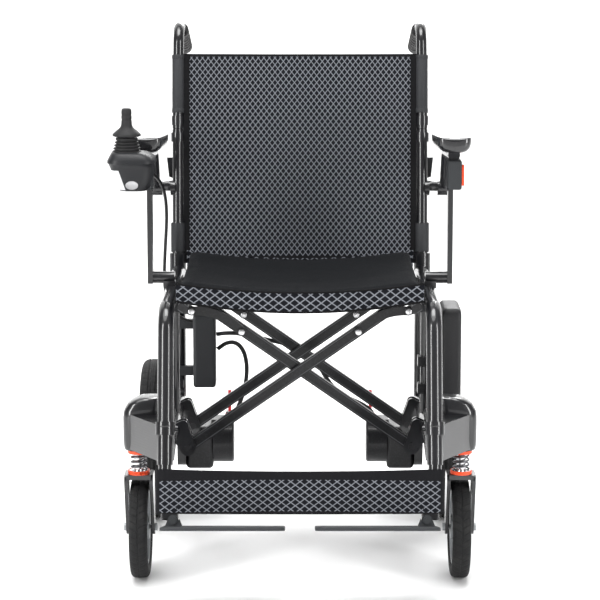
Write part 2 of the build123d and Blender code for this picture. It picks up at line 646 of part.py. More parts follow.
def build():
    nodes["right_side_frame"] = side_frame(1)
    nodes["left_side_frame"] = other_side(side_frame(-1))
    keep_pair("leg_tube", leg_tube())
    keep_pair("footplate", footplate())
    nodes["calf_strap"] = calf_strap()
    nodes["cross_bars_a"] = cross_bars(1, "a")
    nodes["cross_bars_b"] = cross_bars(-1, "b")
    nodes["right_links"] = Compound(links(-bar_gap / 2 - bar_deep))
    nodes["left_links"] = Compound([other_side(piece) for piece in links(bar_gap / 2)])
    nodes["seat_cushion"] = seat_cushion()
    keep_pair("back_post", back_post())
    upper, path = back_cane()
    keep_pair("back_cane", upper)
    keep_pair("push_grip", push_grip(path))
    nodes["back_sling_lower"] = sling(sling_low, fold_up - 3)
    nodes["back_sling_upper"] = sling(fold_up + 3, sling_top)
    keep_pair("armrest_pad", armrest_pad())
    keep_pair("armrest_frame", armrest_frame())
    keep_pair("armrest_latch", armrest_latch())
    keep_pair("release_lever", release_lever())
    keep_pair("caster_stem", caster_stem())
    keep_pair("caster_spring", caster_spring())
    keep_pair("caster_fork", caster_fork())
    tyre, rim = caster_wheel_parts()
    keep_pair("caster_tyre", tyre)
    keep_pair("caster_rim", rim)
    tyre, hub = rear_wheel_parts()
    keep_pair("rear_tyre", tyre)
    keep_pair("rear_hub", hub)
    keep_pair("drive_motor", drive_motor())
    keep_pair("clutch_lever", clutch_lever())
    nodes["controller_box"] = controller_box()
    nodes["battery_bracket"] = battery_bracket()
    nodes["battery_case"] = battery_case()
    house, cover = joystick_parts()
    yoke, knob, boot = joystick_mechanism()
    nodes["joystick_housing"] = house
    nodes["joystick_cover"] = buttons(cover)
    nodes["joystick_yoke"] = yoke
    nodes["joystick_knob"] = knob
    nodes["joystick_boot"] = boot
    nodes["joystick_cable"] = cable(joystick_cord, 6)
    nodes["motor_cable_left"] = cable(left_cord, 8, 3)
    nodes["motor_cable_right"] = cable(right_cord, 8, 3)


build()
whole = Compound(list(nodes.values())).bounding_box()
origin = Vector((whole.min.X + whole.max.X) / 2, (whole.min.Y + whole.max.Y) / 2, whole.min.Z)
os.makedirs("parts", exist_ok=True)
for name, shape in nodes.items():
    export_step(Pos(-origin.X, -origin.Y, -origin.Z) * shape, f"parts/{name}.step")
print("nodes", len(nodes), "origin", origin, "size", whole.size)
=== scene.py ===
import math
import bpy
import bmesh
from mathutils import Matrix, Vector


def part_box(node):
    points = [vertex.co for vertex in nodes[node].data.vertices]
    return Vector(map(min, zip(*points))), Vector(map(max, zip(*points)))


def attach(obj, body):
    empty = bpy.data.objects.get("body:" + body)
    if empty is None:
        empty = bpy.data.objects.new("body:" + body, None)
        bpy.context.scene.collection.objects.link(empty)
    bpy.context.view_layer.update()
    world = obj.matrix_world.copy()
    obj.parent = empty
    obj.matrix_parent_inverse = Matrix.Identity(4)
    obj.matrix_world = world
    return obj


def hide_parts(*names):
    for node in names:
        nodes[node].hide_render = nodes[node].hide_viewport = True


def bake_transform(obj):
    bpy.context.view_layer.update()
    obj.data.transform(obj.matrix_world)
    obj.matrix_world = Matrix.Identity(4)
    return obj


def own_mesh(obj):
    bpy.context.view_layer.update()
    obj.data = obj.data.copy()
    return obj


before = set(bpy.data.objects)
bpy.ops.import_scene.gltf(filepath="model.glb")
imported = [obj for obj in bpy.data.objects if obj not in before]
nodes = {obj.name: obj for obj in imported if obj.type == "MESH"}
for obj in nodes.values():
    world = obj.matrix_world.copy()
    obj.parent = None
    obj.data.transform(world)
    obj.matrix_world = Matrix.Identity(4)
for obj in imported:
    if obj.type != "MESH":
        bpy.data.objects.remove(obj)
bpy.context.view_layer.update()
print("frame loaded", len(nodes), "nodes")

# places are worked out from the chair's middle plane and its caster stems, in millimetres
stemLow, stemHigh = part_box("right_caster_stem")
midX = (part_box("left_side_frame")[0].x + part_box("right_side_frame")[1].x) / 2
stemY = 0.045  # caster stems behind the chair's front datum
frontY = (stemLow.y + stemHigh.y) / 2 - stemY


def spot(x, y, z):
    return Vector((midX + x / 1000, frontY + y / 1000, z / 1000))


# camera and light
studio = {"distance": 3.92, "height": 1.165, "lens": 141.0, "pitch": 80.45}
eye = bpy.data.cameras.new("eye")
eye.lens = studio["lens"]
eye.sensor_width = 36
eyeObject = bpy.data.objects.new("eye", eye)
bpy.context.collection.objects.link(eyeObject)
eyeObject.location = (midX, frontY - studio["distance"], studio["height"])
eyeObject.rotation_euler = (math.radians(studio["pitch"]), 0, 0)
bpy.context.scene.camera = eyeObject


def stripLight(name, place, wide, tall, power, target):
    lamp = bpy.data.lights.new(name, "AREA")
    lamp.shape = "RECTANGLE"
    lamp.size, lamp.size_y, lamp.energy = wide, tall, power
    holder = bpy.data.objects.new(name, lamp)
    bpy.context.collection.objects.link(holder)
    holder.location = place
    holder.rotation_euler = (Vector(target) - Vector(place)).to_track_quat("-Z", "Y").to_euler()


stripLight("leftStrip", (-2.3, -2.2, 1.3), 0.5, 2.2, 75, (0, 0, 0.5))
stripLight("rightStrip", (2.3, -2.2, 1.3), 0.5, 2.2, 60, (0, 0, 0.5))
stripLight("topPanel", (0, -0.4, 3.0), 1.6, 1.2, 45, (0, 0, 0.3))
stripLight("rearPanel", (0.4, 3.0, 2.4), 1.8, 1.4, 60, (0, 0, 0.5))
sun = bpy.data.lights.new("sun", "SUN")
sun.energy = 2.4
sun.angle = 0.9
sunHolder = bpy.data.objects.new("sun", sun)
bpy.context.collection.objects.link(sunHolder)
sunHolder.rotation_euler = (math.radians(12), math.radians(-8), 0)
world = bpy.data.worlds.new("studio")
bpy.context.scene.world = world
world.use_nodes = True
world.node_tree.nodes["Background"].inputs["Color"].default_value = (1, 1, 1, 1)
world.node_tree.nodes["Background"].inputs["Strength"].default_value = 0.3
bpy.context.scene.view_settings.view_transform = "Standard"
bpy.ops.object.select_all(action="DESELECT")
bpy.ops.mesh.primitive_plane_add(size=40, location=(0, 0, -0.0005))
floor = bpy.context.object
floor.name = "floor"
pale = bpy.data.materials.new("palePaper")
pale.use_nodes = True
pale.node_tree.nodes["Principled BSDF"].inputs["Base Color"].default_value = (0.9, 0.9, 0.9, 1)
pale.node_tree.nodes["Principled BSDF"].inputs["Roughness"].default_value = 0.9
floor.data.materials.append(pale)
bpy.ops.object.select_all(action="DESELECT")
bpy.ops.mesh.primitive_plane_add(size=30, location=(0, 11, 8), rotation=(math.radians(90), 0, 0))
backdrop = bpy.context.object
backdrop.name = "backdrop"
glow = bpy.data.materials.new("whiteBackdrop")
glow.use_nodes = True
glow.node_tree.nodes["Principled BSDF"].inputs["Emission Color"].default_value = (1, 1, 1, 1)
glow.node_tree.nodes["Principled BSDF"].inputs["Emission Strength"].default_value = 0.9
backdrop.data.materials.append(glow)
print("camera and light set")


# shader maths written as sums
class Wire:
    def __init__(self, shop, socket):
        self.shop = shop
        self.socket = socket

    def join(self, operation, other, turned=False):
        pair = [other, self] if turned else [self, other]
        return self.shop.node("ShaderNodeMath", {"operation": operation}, {0: pair[0], 1: pair[1]})

    def __add__(self, other): return self.join("ADD", other)
    def __radd__(self, other): return self.join("ADD", other)
    def __sub__(self, other): return self.join("SUBTRACT", other)
    def __rsub__(self, other): return self.join("SUBTRACT", other, True)
    def __mul__(self, other): return self.join("MULTIPLY", other)
    def __rmul__(self, other): return self.join("MULTIPLY", other)
    def __truediv__(self, other): return self.join("DIVIDE", other)
    def __gt__(self, other): return self.join("GREATER_THAN", other)
    def __lt__(self, other): return self.join("LESS_THAN", other)
    def top(self, other): return self.join("MAXIMUM", other)
    def wave(self): return self.shop.node("ShaderNodeMath", {"operation": "SINE"}, {0: self})
    def size(self): return self.shop.node("ShaderNodeMath", {"operation": "ABSOLUTE"}, {0: self})
    def part(self): return self.shop.node("ShaderNodeMath", {"operation": "FRACT"}, {0: self})

    def ramp(self, low, high):
        return self.shop.node("ShaderNodeMapRange", {"interpolation_type": "SMOOTHSTEP"},
                              {"Value": self, "From Min": low, "From Max": high})


class Shop:
    def __init__(self, name, colour, roughness, **fixed):
        self.material = bpy.data.materials.new(name)
        self.material.use_nodes = True
        self.tree = self.material.node_tree
        self.shader = self.tree.nodes["Principled BSDF"]
        self.shader.inputs["Base Color"].default_value = (*colour, 1)
        self.shader.inputs["Roughness"].default_value = roughness
        self.shader.inputs["Specular IOR Level"].default_value = 0.3
        for key, value in fixed.items():
            self.shader.inputs[key.replace("_", " ")].default_value = value
        self.place = self.node("ShaderNodeTexCoord", {}, {}, "Object")
        axes = self.tree.nodes.new("ShaderNodeSeparateXYZ")
        self.tree.links.new(self.place.socket, axes.inputs[0])
        self.x, self.y, self.z = [Wire(self, axes.outputs[i]) for i in range(3)]

    def node(self, kind, settings, values, output=0):
        made = self.tree.nodes.new(kind)
        for key, value in settings.items():
            setattr(made, key, value)
        for key, value in values.items():
            if isinstance(value, Wire):
                self.tree.links.new(value.socket, made.inputs[key])
            else:
                made.inputs[key].default_value = value
        return Wire(self, made.outputs[output])

    def noise(self, scale, detail=3.0):
        return self.node("ShaderNodeTexNoise", {}, {"Vector": self.place, "Scale": scale, "Detail": detail})

    def mix(self, factor, first, second):
        made = self.tree.nodes.new("ShaderNodeMix")
        made.data_type = "RGBA"
        for socket, value in ((made.inputs[0], factor), (made.inputs[6], first), (made.inputs[7], second)):
            if isinstance(value, Wire):
                self.tree.links.new(value.socket, socket)
            elif isinstance(value, tuple):
                socket.default_value = (*value, 1)
            else:
                socket.default_value = value
        return Wire(self, made.outputs[2])

    def feed(self, name, wire):
        self.tree.links.new(wire.socket, self.shader.inputs[name])

    def bump(self, height, distance, strength=1.0):
        made = self.node("ShaderNodeBump", {}, {"Height": height, "Distance": distance, "Strength": strength})
        self.feed("Normal", made)


def lacquerBlack():
    shop = Shop("lacquerBlack", (0.012, 0.012, 0.014), 0.3, Coat_Weight=0.8, Coat_Roughness=0.05)
    cells = 2 * math.pi / 0.0028
    weave = ((shop.z * cells).wave() * ((shop.y + shop.x) * cells).wave()).ramp(-0.2, 0.2)
    patch = shop.noise(9).ramp(0.35, 0.7)
    shop.feed("Base Color", shop.mix(weave * patch, (0.002, 0.002, 0.003), (0.013, 0.0135, 0.016)))
    shop.feed("Roughness", 0.42 - weave * 0.16 + shop.noise(160) * 0.05)
    return shop.material


def satinBar(name, slope=None):
    # satin black; a bar's long faces carry two ridges beside a groove, each ridge with a painted highlight line
    shop = Shop(name, (0.008, 0.008, 0.009), 0.35, Coat_Weight=0.15, Coat_Roughness=0.1)
    speck = shop.noise(420, 4)
    colour = shop.mix(speck.ramp(0.45, 0.7), (0.006, 0.006, 0.007), (0.014, 0.014, 0.016))
    height = speck * 0.04
    if slope:
        run, rise = 398.0, 277.0 * slope
        reach = math.hypot(run, rise)
        off = ((shop.z - 0.3515) * (run / reach) - (shop.x - midX) * (rise / reach)).size()
        ridgeAndHighlight = (off - 0.0072).size() < 0.0007
        groove = off < 0.0045
        # painted highlight: the ridge lines are coloured light grey in place of reflections along the bar
        colour = shop.mix(ridgeAndHighlight * 0.6, colour, (0.1, 0.104, 0.11))
        height = height + ridgeAndHighlight * 0.5 - groove * 0.8
    shop.feed("Base Color", colour)
    shop.feed("Roughness", 0.28 + shop.noise(60) * 0.18)
    shop.bump(height, 0.0008)
    return shop.material


def mouldedPlastic(name, colour, roughness, grain=1400.0, depth=0.00012, **fixed):
    shop = Shop(name, colour, roughness, **fixed)
    speck = shop.noise(grain, 2)
    lighter = tuple(min(1.0, c * 1.25 + 0.004) for c in colour)
    shop.feed("Base Color", shop.mix(speck.ramp(0.35, 0.75), colour, lighter))
    shop.feed("Roughness", roughness - 0.06 + shop.noise(70) * 0.14)
    shop.bump(speck, depth)
    return shop.material


def brightSteel(name, colour, roughness):
    shop = Shop(name, colour, roughness, Metallic=1.0)
    streak = shop.node("ShaderNodeTexNoise", {}, {"Vector": shop.place, "Scale": 900.0, "Detail": 2.0})
    shop.feed("Roughness", roughness + streak * 0.15)
    shop.bump(streak, 0.00003)
    return shop.material


def meshFabric(name, wide, tall, recline=0.0, border=None):
    # diamond net on near black cloth; a border stays plain
    shop = Shop(name, (0.01, 0.011, 0.014), 0.8, Specular_IOR_Level=0.12)
    across = (shop.x - midX) / wide
    along = shop.z / (tall * math.cos(recline))
    first, second = (across + along).part(), (across - along).part()
    line = ((first - 0.5).size().ramp(0.38, 0.45)).top((second - 0.5).size().ramp(0.38, 0.45))
    thread = shop.noise(2600, 2)
    colour = shop.mix(line, (0.0025, 0.003, 0.005), (0.17, 0.18, 0.2))
    if border:
        inside = ((shop.x - midX).size() < border["half"]) * (shop.z > border["low"]) * (shop.z < border["high"])
        colour = shop.mix(inside, (0.005, 0.005, 0.006), colour)
        line = line * inside
    shop.feed("Base Color", shop.mix(thread.ramp(0.3, 0.8) * 0.06, colour, (0.06, 0.06, 0.07)))
    shop.bump(line + thread * 0.4, 0.0006, 0.8)
    return shop.material


def knitCloth(name, colour):
    shop = Shop(name, colour, 0.85, Specular_IOR_Level=0.12)
    pitch = 2 * math.pi / 0.0022
    loops = (shop.x * pitch).wave() * (shop.y * pitch + (shop.x * pitch).wave() * 0.6).wave()
    cloudy = shop.noise(14)
    lighter = tuple(c * 1.5 for c in colour)
    shop.feed("Base Color", shop.mix(loops.ramp(-0.6, 0.8) * 0.6 + cloudy * 0.3, colour, lighter))
    shop.bump(loops, 0.0004, 0.7)
    return shop.material


def tyreRubber(name, centre, radius, blocks, offset):
    # blocks of tread in two rows, side walls left smooth
    shop = Shop(name, (0.012, 0.012, 0.0125), 0.7)
    dust = shop.noise(40, 5)
    up, behind = shop.z - centre.z, shop.y - centre.y
    angle = shop.node("ShaderNodeMath", {"operation": "ARCTAN2"}, {0: up, 1: behind})
    away = shop.node("ShaderNodeMath", {"operation": "SQRT"}, {0: up * up + behind * behind})
    side = (shop.x - centre.x) / offset
    row = (side > 0) * 0.5
    cut = ((angle * (blocks / (2 * math.pi)) + side.size() * 0.6 + row).part() - 0.5).size().ramp(0.36, 0.42)
    middle = 1 - side.size().ramp(0.05, 0.14)
    tread = away > (radius * 0.93)
    grooves = cut.top(middle) * tread
    # lighter dust patches at random, with painted shade keeping the tread grooves dark
    dustAndGrooveShade = dust.ramp(0.4, 0.75) * (1 - grooves * 0.8)
    shop.feed("Base Color", shop.mix(dustAndGrooveShade, (0.005, 0.005, 0.0055), (0.018, 0.018, 0.0175)))
    shop.feed("Roughness", 0.6 + dust * 0.3)
    shop.bump(1 - grooves + dust * 0.05, 0.002)
    return shop.material


paint = {
    "lacquer": lacquerBlack(),
    "bar": satinBar("satinBlack"),
    "barA": satinBar("satinBarRising", 1),
    "barB": satinBar("satinBarFalling", -1),
    "sleeve": mouldedPlastic("sleeveGrey", (0.018, 0.019, 0.021), 0.62, 900, 0.0002),
    "latch": mouldedPlastic("latchGrey", (0.02, 0.022, 0.024), 0.6, 1100, 0.0003),
    "case": mouldedPlastic("caseBlack", (0.008, 0.008, 0.009), 0.45),
    "box": mouldedPlastic("boxGrey", (0.014, 0.015, 0.017), 0.5),
    "pad": mouldedPlastic("padBlack", (0.01, 0.01, 0.011), 0.16, 500, 0.00005, Coat_Weight=0.7, Coat_Roughness=0.08),
    "orange": mouldedPlastic("orangeGloss", (0.8, 0.075, 0.022), 0.35),
    "red": mouldedPlastic("redGloss", (0.55, 0.02, 0.025), 0.35),
    "grip": mouldedPlastic("gripRubber", (0.008, 0.008, 0.0085), 0.6, 1500, 0.0002),
    "rim": mouldedPlastic("rimSilver", (0.3, 0.31, 0.32), 0.38, 800, 0.00005, Metallic=0.35),
    "steel": brightSteel("brightSteel", (0.62, 0.62, 0.63), 0.18),
    "spring": brightSteel("springSteel", (0.13, 0.13, 0.14), 0.3),
    "silver": brightSteel("silverPanel", (0.5, 0.5, 0.51), 0.32),
    "seat": knitCloth("seatKnit", (0.0045, 0.005, 0.006)),
    "edge": knitCloth("edgeBinding", (0.004, 0.004, 0.0045)),
    "cable": mouldedPlastic("cableSheath", (0.007, 0.007, 0.0075), 0.45),
}
dressing = {
    "lacquer": ("side_frame", "leg_tube", "back_post", "back_cane", "armrest_frame", "caster_fork"),
    "bar": ("links", "drive_motor"), "grip": ("push_grip",), "pad": ("armrest_pad",),
    "latch": ("armrest_latch", "footplate"), "orange": ("release_lever",), "red": ("clutch_lever",),
    "steel": ("caster_stem",), "spring": ("caster_spring",),
    "rim": ("caster_rim", "rear_hub"),
}
single = {
    "barA": ("cross_bars_a",), "barB": ("cross_bars_b",), "bar": ("battery_bracket",), "box": ("controller_box",),
    "case": ("battery_case", "joystick_housing", "joystick_cover", "joystick_knob", "speed_rocker"),
    "red": ("power_button",), "latch": ("horn_button",), "steel": ("joystick_yoke",), "grip": ("joystick_boot",),
    "cable": ("joystick_cable", "motor_cable_left", "motor_cable_right"), "seat": ("seat_cushion",),
    "edge": ("calf_strap", "back_sling_lower", "back_sling_upper"),
}


def dress(piece, material):
    piece.data.materials.clear()
    piece.data.materials.append(material)


def smooth(piece, angle=35):
    bpy.ops.object.select_all(action="DESELECT")
    piece.select_set(True)
    bpy.context.view_layer.objects.active = piece
    bpy.ops.object.shade_smooth_by_angle(angle=math.radians(angle))


for finish, names in dressing.items():
    for name in names:
        for side in ("left_", "right_"):
            dress(nodes[side + name], paint[finish])
for finish, names in single.items():
    for name in names:
        dress(nodes[name], paint[finish])
for side in ("left_", "right_"):
    for name, radius, blocks, offset in (("caster_tyre", 0.089, 44, 0.014), ("rear_tyre", 0.1525, 56, 0.02)):
        low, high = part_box(side + name)
        dress(nodes[side + name], tyreRubber(side + name, (low + high) / 2, radius, blocks, offset))
print("materials ready")


def settle(piece):
    # puts the place and the modifiers into the mesh
    bpy.ops.object.select_all(action="DESELECT")
    piece.select_set(True)
    bpy.context.view_layer.objects.active = piece
    for modifier in list(piece.modifiers):
        bpy.ops.object.modifier_apply(modifier=modifier.name)
    bpy.ops.object.transform_apply(location=True, rotation=True, scale=True)
    return piece


def started(name):
    piece = bpy.context.object
    piece.name = name
    piece.data.name = name
    return piece


def addModifier(piece, kind, **settings):
    made = piece.modifiers.new(kind.lower(), kind)
    for key, value in settings.items():
        setattr(made, key, value)
    return made


def join(pieces, name):
    bpy.ops.object.select_all(action="DESELECT")
    for piece in pieces:
        piece.select_set(True)
    bpy.context.view_layer.objects.active = pieces[0]
    bpy.ops.object.join()
    return started(name)


def sleeve(name, place, direction, radius, length, bore=None, bevel=0.0008, sides=48):
    # short round collar, closed or with a bore
    bpy.ops.object.select_all(action="DESELECT")
    bpy.ops.mesh.primitive_cylinder_add(vertices=sides, radius=radius, depth=length, end_fill_type="NGON")
    piece = started(name)
    if bore:
        for face in piece.data.polygons:
            face.select = len(face.vertices) > 4
        bpy.ops.object.mode_set(mode="EDIT")
        bpy.ops.mesh.select_mode(type="FACE")
        bpy.ops.mesh.inset(thickness=radius - bore, use_individual=True)
        bpy.ops.mesh.bridge_edge_loops()
        bpy.ops.object.mode_set(mode="OBJECT")
    addModifier(piece, "BEVEL", width=bevel, segments=2, limit_method="ANGLE", angle_limit=0.9)
    piece.rotation_euler = Vector(direction).to_track_quat("Z", "Y").to_euler()
    piece.location = place
    settle(piece)
    smooth(piece)
    return piece


def finished(piece, material, body):
    dress(piece, paint[material] if isinstance(material, str) else material)
    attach(piece, body)
    return piece


# leads, as smooth splines through the same points as their tubes
leads = {
    "joystick_cable": {"thick": 6, "points": [
        (-297, 151, 701), (-299, 172, 699), (-298, 196, 698), (-296, 226, 700), (-293, 260, 699),
        (-288, 296, 695), (-278, 328, 688), (-264, 356, 676), (-253, 380, 656), (-248, 396, 628),
        (-247, 403, 594), (-249, 402, 556), (-251, 395, 520), (-252, 388, 484), (-250, 385, 452),
        (-241, 387, 426), (-226, 391, 408), (-208, 394, 400), (-200.5, 395, 399)]},
    "motor_cable_left": {"thick": 8, "points": [
        (-154, 400, 345), (-142, 401, 356), (-122, 403, 359), (-107, 406, 345), (-100, 410, 320),
        (-100, 415, 292), (-105, 421, 262), (-115, 429, 232), (-128, 437, 206), (-141, 444, 186)]},
    "motor_cable_right": {"thick": 8, "points": [
        (-155, 392, 375), (-134, 388, 379), (-104, 386, 376), (-70, 385, 368), (-34, 385, 360),
        (0, 385, 350), (28, 387, 330), (44, 391, 300), (62, 397, 272), (88, 405, 252),
        (116, 415, 238), (138, 428, 220), (144, 440, 194)]},
}


def makeLead(node, facts):
    curve = bpy.data.curves.new(node + "_lead", "CURVE")
    curve.dimensions = "3D"
    curve.bevel_depth = facts["thick"] / 2000
    curve.bevel_resolution = 4
    curve.use_fill_caps = True
    line = curve.splines.new("NURBS")
    line.points.add(len(facts["points"]) - 1)
    for point, place in zip(line.points, facts["points"]):
        point.co = (*spot(*place), 1)
    line.order_u = 3
    line.use_endpoint_u = True
    line.resolution_u = 8
    holder = bpy.data.objects.new(node + "_lead", curve)
    bpy.context.collection.objects.link(holder)
    bpy.ops.object.select_all(action="DESELECT")
    holder.select_set(True)
    bpy.context.view_layer.objects.active = holder
    bpy.ops.object.convert(target="MESH")
    piece = started(node + "_lead")
    smooth(piece, 60)
    dress(piece, paint["cable"])
    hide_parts(node)
    return piece


joystickLead = makeLead("joystick_cable", leads["joystick_cable"])
spot(-249, 402, 560)
spot(-293, 260, 699)
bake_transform(joystickLead)
leftLead = makeLead("motor_cable_left", leads["motor_cable_left"])
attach(leftLead, "left_frame")
rightLead = makeLead("motor_cable_right", leads["motor_cable_right"])
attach(rightLead, "left_frame")
spot(-155, 392, 375)
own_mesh(rightLead)
print("leads laid")


# back fabric: two panels on the reclined canes
back = {"recline": math.radians(8), "caneX": 228.5, "rearY": 430, "railZ": 487, "netHalf": 0.208,
        "seam": 267, "top": 407, "bottom": 16}


def canePoint(x, behind, up):
    tilt = back["recline"]
    return spot(x, back["rearY"] + behind * math.cos(tilt) + up * math.sin(tilt),
                back["railZ"] - behind * math.sin(tilt) + up * math.cos(tilt))


def backPanel(name, low, high, body, node, sag):
    bpy.ops.object.select_all(action="DESELECT")
    bpy.ops.mesh.primitive_grid_add(x_subdivisions=80, y_subdivisions=40, size=2)
    piece = started(name)
    half = back["caneX"] - 9.6
    for vertex in piece.data.vertices:
        across, up = vertex.co.x, (vertex.co.y + 1) / 2
        belly = sag * (1 - across * across)
        edge = 0.0 if abs(across) < 0.96 else (abs(across) - 0.96) * 60
        height = low + (high - low) * up
        ripple = 0.5 * math.sin(9 * across + height / 40) * (1 - abs(across))
        pull = 1.6 * math.sin(math.pi * height / back["top"]) * across
        vertex.co = canePoint(across * half - pull, belly + ripple - edge, low + (high - low) * up)
    addModifier(piece, "SOLIDIFY", thickness=0.0032, offset=0)
    settle(piece)
    smooth(piece, 50)
    border = {"half": back["netHalf"], "low": canePoint(0, 0, back["bottom"] + 13).z,
              "high": canePoint(0, 0, back["top"] - 5.5).z}
    finished(piece, meshFabric(name + "Net", 0.0104, 0.0132, back["recline"], border), body)
    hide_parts(node)
    canePoint(-half, 0, low)
    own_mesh(piece)
    return piece


lowerPanel = backPanel("backPanelLower", back["bottom"], back["seam"] + 0.3, "left_frame", "back_sling_lower", 7)
upperPanel = backPanel("backPanelUpper", back["seam"] - 0.3, back["top"], "left_back", "back_sling_upper", 7)


def hem(name, low, high, body):
    # bound edge strips down the panel's two sides
    strips = []
    half = back["caneX"] - 16
    for x in (-half, half):
        bpy.ops.object.select_all(action="DESELECT")
        bpy.ops.mesh.primitive_grid_add(x_subdivisions=6, y_subdivisions=30, size=2)
        strip = started("strip")
        for vertex in strip.data.vertices:
            up = low + (high - low) * (vertex.co.y + 1) / 2
            across = x + vertex.co.x * 6
            vertex.co = canePoint(across, -2.6 - 0.5 * (1 - vertex.co.x ** 2), up)
        addModifier(strip, "SOLIDIFY", thickness=0.0014, offset=0)
        settle(strip)
        strips.append(strip)
    piece = join(strips, name)
    smooth(piece, 50)
    finished(piece, "edge", body)
    canePoint(-half, 0, low)
    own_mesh(piece)
    return piece


lowerHem = hem("backHemLower", back["bottom"], back["seam"] + 0.3, "left_frame")
upperHem = hem("backHemUpper", back["seam"] + 0.3, back["top"], "left_back")
print("back panels made")


# seat: padded top over a net border
seat = {"half": 211, "front": 7, "rear": 396, "low": 487, "high": 519, "sag": 11, "cap": 0.005}


def puff(piece, pressure, cap, frames=20):
    start = [vertex.co.copy() for vertex in piece.data.vertices]
    cloth = addModifier(piece, "CLOTH")
    cloth.settings.use_pressure = True
    cloth.settings.uniform_pressure_force = pressure
    cloth.settings.effector_weights.gravity = 0
    cloth.settings.tension_stiffness = 40
    cloth.settings.compression_stiffness = 40
    for step in range(1, frames + 1):
        bpy.context.scene.frame_set(step)
    bpy.ops.object.select_all(action="DESELECT")
    piece.select_set(True)
    bpy.context.view_layer.objects.active = piece
    bpy.ops.object.modifier_apply(modifier=cloth.name)
    bpy.context.scene.frame_set(1)
    for vertex, before in zip(piece.data.vertices, start):
        move = vertex.co - before
        if move.length > cap:
            vertex.co = before + move.normalized() * cap


def seatPad():
    bpy.ops.object.select_all(action="DESELECT")
    bpy.ops.mesh.primitive_cube_add(size=2)
    piece = started("seatPad")
    bpy.ops.object.mode_set(mode="EDIT")
    bpy.ops.mesh.select_all(action="SELECT")
    bpy.ops.mesh.subdivide(number_cuts=5)
    bpy.ops.object.mode_set(mode="OBJECT")
    for vertex in piece.data.vertices:
        a, b, c = vertex.co
        vertex.co = spot(a * (seat["half"] - 3),
                         (seat["front"] + seat["rear"]) / 2 + b * (seat["rear"] - seat["front"] - 8) / 2,
                         (seat["low"] + seat["high"]) / 2 + c * (seat["high"] - seat["low"] - 5) / 2)
    addModifier(piece, "BEVEL", width=0.007, segments=3, limit_method="ANGLE", angle_limit=0.9)
    addModifier(piece, "REMESH", mode="VOXEL", voxel_size=0.005)
    settle(piece)
    puff(piece, 4, seat["cap"])
    low = spot(-seat["half"], seat["front"], seat["low"])
    high = spot(seat["half"], seat["rear"], seat["high"])
    for vertex in piece.data.vertices:
        a = (vertex.co.x - midX) / (seat["half"] / 1000)
        b = (vertex.co.y - (low.y + high.y) / 2) / ((high.y - low.y) / 2)
        up = (vertex.co.z - low.z) / (high.z - low.z)
        rise = (0.019 - 0.004 * up) * a * a - 0.006 * (1 - up)
        dip = seat["sag"] / 1000 * max(0.0, 1 - a * a) * max(0.0, 1 - b * b) * up
        roll = 0.0012 * math.sin(math.pi * 3 * b) * (1 - a * a)
        vertex.co.z += rise - dip + roll
    addModifier(piece, "SUBSURF", levels=1, render_levels=1)
    settle(piece)
    bpy.ops.object.shade_smooth()
    finished(piece, "seat", "seat")
    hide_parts("seat_cushion")
    spot(199, 200, 500)
    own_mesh(piece)
    return piece


seatPad()


def seatBand(name, y, height, low):
    # net border hung on the front and the back edge of the seat
    bpy.ops.object.select_all(action="DESELECT")
    bpy.ops.mesh.primitive_grid_add(x_subdivisions=90, y_subdivisions=10, size=2)
    piece = started(name)
    outward = -1 if y < 200 else 1
    for vertex in piece.data.vertices:
        across, up = vertex.co.x, (vertex.co.y + 1) / 2
        swell = 2.2 * math.sin(math.pi * up) + 0.4 * math.sin(20 * across)
        vertex.co = spot(across * (seat["half"] - 1), y + outward * swell,
                         low + (19 - 4 * up) * across * across + height * up)
    addModifier(piece, "SOLIDIFY", thickness=0.002, offset=0)
    settle(piece)
    smooth(piece, 50)
    finished(piece, meshFabric(name + "Net", 0.018, 0.0135), "seat")
    spot(199, 200, 500)
    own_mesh(piece)
    return piece


frontBand = seatBand("seatFrontBand", seat["front"] - 0.5, 34, seat["low"] - 4)
rearBand = seatBand("seatRearBand", seat["rear"] + 0.5, 34, seat["low"] - 4)


def seatPiping(name, y, z):
    points = []
    for step in range(41):
        across = -1 + step / 20
        points.append(spot(across * (seat["half"] - 1), y, z + (15 if z > 500 else 19) * across * across))
    curve = bpy.data.curves.new(name, "CURVE")
    curve.dimensions = "3D"
    curve.bevel_depth = 0.0018
    curve.bevel_resolution = 2
    curve.use_fill_caps = True
    line = curve.splines.new("POLY")
    line.points.add(len(points) - 1)
    for point, place in zip(line.points, points):
        point.co = (*place, 1)
    holder = bpy.data.objects.new(name, curve)
    bpy.context.collection.objects.link(holder)
    bpy.ops.object.select_all(action="DESELECT")
    holder.select_set(True)
    bpy.context.view_layer.objects.active = holder
    bpy.ops.object.convert(target="MESH")
    piece = started(name)
    smooth(piece, 60)
    finished(piece, "edge", "seat")
    spot(199, 200, 500)
    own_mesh(piece)
    return piece


topPiping = seatPiping("seatPipingTop", seat["front"] - 2, 517)
lowPiping = seatPiping("seatPipingLow", seat["front"] - 2, 483)
print("seat made")


# calf strap round both legs
calf = {"z": 193, "tall": 74, "half": 227, "slope": math.radians(15.5), "round": 14.6, "thick": 0.0028}


def legPlace(x, ahead, up):
    z = calf["z"]
    tilt = calf["slope"]
    y = -(487 - z) * math.tan(tilt)
    return spot(x, y + ahead * math.cos(tilt) + up * math.sin(tilt),
                z - ahead * math.sin(tilt) + up * math.cos(tilt))


